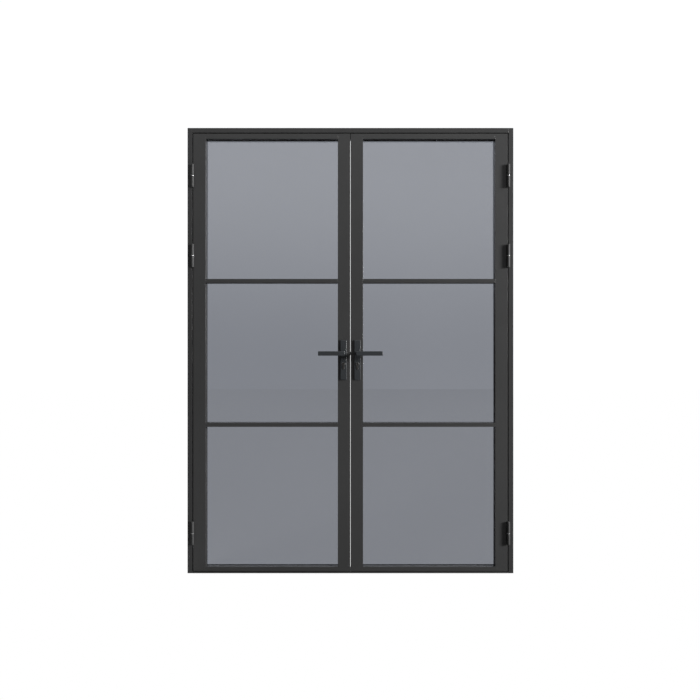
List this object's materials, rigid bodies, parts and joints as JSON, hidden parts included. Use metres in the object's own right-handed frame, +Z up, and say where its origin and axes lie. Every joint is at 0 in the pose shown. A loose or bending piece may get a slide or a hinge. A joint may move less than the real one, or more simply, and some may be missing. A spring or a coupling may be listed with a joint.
{
  "type": "french doors",
  "caption": "Slim dark metal french doors in their frame: outward-opening glazed leaves with horizontal glazing bars, lever handles, lock, shoot bolts and lift-off hinges.",
  "frame": {"origin": "on the floor, at the middle of the frame's width and of the closed leaves' thickness", "axes": "+X to the right seen from the side the doors open to, +Y from that side through the doorway, +Z up"},
  "size_m": [1.5, 0.149, 2.05],
  "materials": {
    "frame_coat": "satin",
    "leaf_coat": "satin",
    "hinge_coat": "satin",
    "handle_coat": "satin",
    "cylinder_metal": "satin",
    "bright_steel": "satin",
    "lock_steel": "satin",
    "glazing": "gloss",
    "seal_rubber": "matte"
  },
  "bodies": {
    "frame": {"head": "frame_coat", "left_jamb": "frame_coat", "right_jamb": "frame_coat", "threshold": "frame_coat", "frame_seals": "seal_rubber", "frame_screws": "bright_steel", "head_keeper": "bright_steel", "left_jamb_hinges": "hinge_coat", "right_jamb_hinges": "hinge_coat", "hinge_pins": "bright_steel"},
    "left_leaf": {"left_hinge_stile": "leaf_coat", "left_meeting_stile": "leaf_coat", "left_top_rail": "leaf_coat", "left_bottom_rail": "leaf_coat", "left_muntins": "leaf_coat", "left_glass_bottom": "glazing", "left_glass_middle": "glazing", "left_glass_top": "glazing", "left_gaskets": "seal_rubber", "left_beads": "leaf_coat", "left_leaf_hinges": "hinge_coat", "left_leaf_screws": "bright_steel", "left_bottom_seal": "seal_rubber", "left_gearbox": "lock_steel", "left_front_plate": "handle_coat", "left_back_plate": "handle_coat", "left_cylinder": "cylinder_metal"},
    "right_leaf": {"right_hinge_stile": "leaf_coat", "right_meeting_stile": "leaf_coat", "right_top_rail": "leaf_coat", "right_bottom_rail": "leaf_coat", "right_muntins": "leaf_coat", "right_glass_bottom": "glazing", "right_glass_middle": "glazing", "right_glass_top": "glazing", "right_gaskets": "seal_rubber", "right_beads": "leaf_coat", "right_leaf_hinges": "hinge_coat", "right_leaf_screws": "bright_steel", "right_bottom_seal": "seal_rubber", "right_lock_case": "lock_steel", "right_front_plate": "handle_coat", "right_back_plate": "handle_coat", "right_cylinder": "cylinder_metal"},
    "left_lever": {"left_front_lever": "handle_coat", "left_back_lever": "handle_coat", "left_spindle": "bright_steel"},
    "right_lever": {"right_front_lever": "handle_coat", "right_back_lever": "handle_coat", "right_spindle": "bright_steel"},
    "left_plug": {"left_plug": "cylinder_metal"},
    "right_plug": {"right_plug": "cylinder_metal"},
    "top_shoot_bolt": {"top_shoot_bolt": "bright_steel"},
    "bottom_shoot_bolt": {"bottom_shoot_bolt": "bright_steel"},
    "latch_bolt": {"latch_bolt": "bright_steel"},
    "deadbolt": {"deadbolt": "bright_steel"}
  },
  "joints": [
    {"name": "left_leaf_hinge", "type": "hinge", "parent": "frame", "child": "left_leaf", "pos_m": [-0.726, -0.0305, 1], "axis": [0, 0, -1], "range_deg": [0, 170]},
    {"name": "right_leaf_hinge", "type": "hinge", "parent": "frame", "child": "right_leaf", "pos_m": [0.726, -0.0305, 1], "axis": [0, 0, 1], "range_deg": [0, 170]},
    {"name": "left_lever_turn", "type": "hinge", "parent": "left_leaf", "child": "left_lever", "pos_m": [-0.032, 0, 1.012], "axis": [0, -1, 0], "range_deg": [0, 45], "stiffness_Nm_per_rad": 1, "springref_deg": -28.65},
    {"name": "right_lever_turn", "type": "hinge", "parent": "right_leaf", "child": "right_lever", "pos_m": [0.032, 0, 1.012], "axis": [0, 1, 0], "range_deg": [0, 45], "stiffness_Nm_per_rad": 1, "springref_deg": -28.65},
    {"name": "left_key_turn", "type": "hinge", "parent": "left_leaf", "child": "left_plug", "pos_m": [-0.032, 0, 0.963], "axis": [0, -1, 0], "range_deg": [0, 360]},
    {"name": "right_key_turn", "type": "hinge", "parent": "right_leaf", "child": "right_plug", "pos_m": [0.032, 0, 0.963], "axis": [0, 1, 0], "range_deg": [0, 360]},
    {"name": "latch_slide", "type": "slide", "parent": "right_leaf", "child": "latch_bolt", "axis": [1, 0, 0], "range_m": [0, 0.012]},
    {"name": "deadbolt_slide", "type": "slide", "parent": "right_leaf", "child": "deadbolt", "axis": [-1, 0, 0], "range_m": [0, 0.02]},
    {"name": "top_bolt_slide", "type": "slide", "parent": "left_leaf", "child": "top_shoot_bolt", "axis": [0, 0, -1], "range_m": [0, 0.014]},
    {"name": "bottom_bolt_slide", "type": "slide", "parent": "left_leaf", "child": "bottom_shoot_bolt", "axis": [0, 0, 1], "range_m": [0, 0.014]}
  ],
  "couplings": [
    {"joint": "latch_slide", "follows": "right_lever_turn", "m_per_rad": 0.015279},
    {"joint": "right_key_turn", "follows": "deadbolt_slide", "rad_per_m": 314.16},
    {"joint": "top_bolt_slide", "follows": "left_lever_turn", "m_per_rad": 0.017825},
    {"joint": "bottom_bolt_slide", "follows": "left_lever_turn", "m_per_rad": 0.017825}
  ]
}
